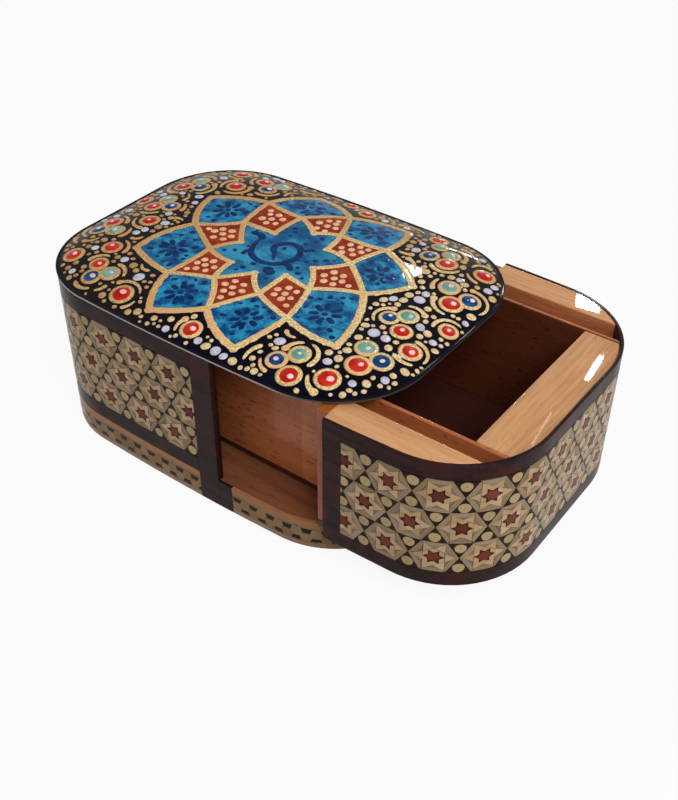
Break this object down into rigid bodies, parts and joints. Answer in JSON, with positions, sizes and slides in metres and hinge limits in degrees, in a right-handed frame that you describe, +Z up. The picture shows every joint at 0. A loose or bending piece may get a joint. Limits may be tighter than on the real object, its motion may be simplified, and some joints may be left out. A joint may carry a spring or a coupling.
{
  "type": "sliding jewelry box",
  "caption": "Small wooden jewelry box with rounded corners, inlaid star marquetry sides, a domed painted top and a front half that slides out as a drawer.",
  "frame": {"origin": "centre of the base board's underside, which rests on the table", "axes": "+X is the way the drawer opens, along the box's length; +Y points to the far long side; +Z is up"},
  "size_m": [0.156, 0.0882, 0.0546],
  "materials": {
    "light_wood": "glossy lacquered light wood",
    "inner_wood": "satin red-brown wood",
    "rosewood": "polished dark rosewood",
    "khatam_inlay": "polished wood and bone marquetry",
    "painted_lacquer": "painted ornament under clear glossy lacquer"
  },
  "bodies": {
    "case": {"base_board": "light_wood", "base_border_rear": "khatam_inlay", "base_border_front": "khatam_inlay", "base_foot_near": "rosewood", "base_foot_far": "rosewood", "case_wall": "inner_wood", "case_bottom_band": "rosewood", "case_khatam_panel": "khatam_inlay", "case_top_band": "rosewood", "case_end_band_near": "rosewood", "case_end_band_far": "rosewood", "top_board": "painted_lacquer", "guide_rail_near": "inner_wood", "guide_rail_far": "inner_wood"},
    "drawer": {"tray_bottom": "inner_wood", "tray_back_wall": "inner_wood", "tray_wall_near": "inner_wood", "tray_wall_far": "inner_wood", "front_block": "light_wood", "cheek_near": "light_wood", "cheek_far": "light_wood", "drawer_bottom_band": "rosewood", "drawer_khatam_panel": "khatam_inlay", "drawer_top_band": "rosewood", "drawer_end_band_near": "rosewood", "drawer_end_band_far": "rosewood"}
  },
  "joints": [
    {"name": "drawer_slide", "type": "slide", "parent": "case", "child": "drawer", "axis": [1, 0, 0], "range_m": [-0.0358, 0.03]}
  ]
}
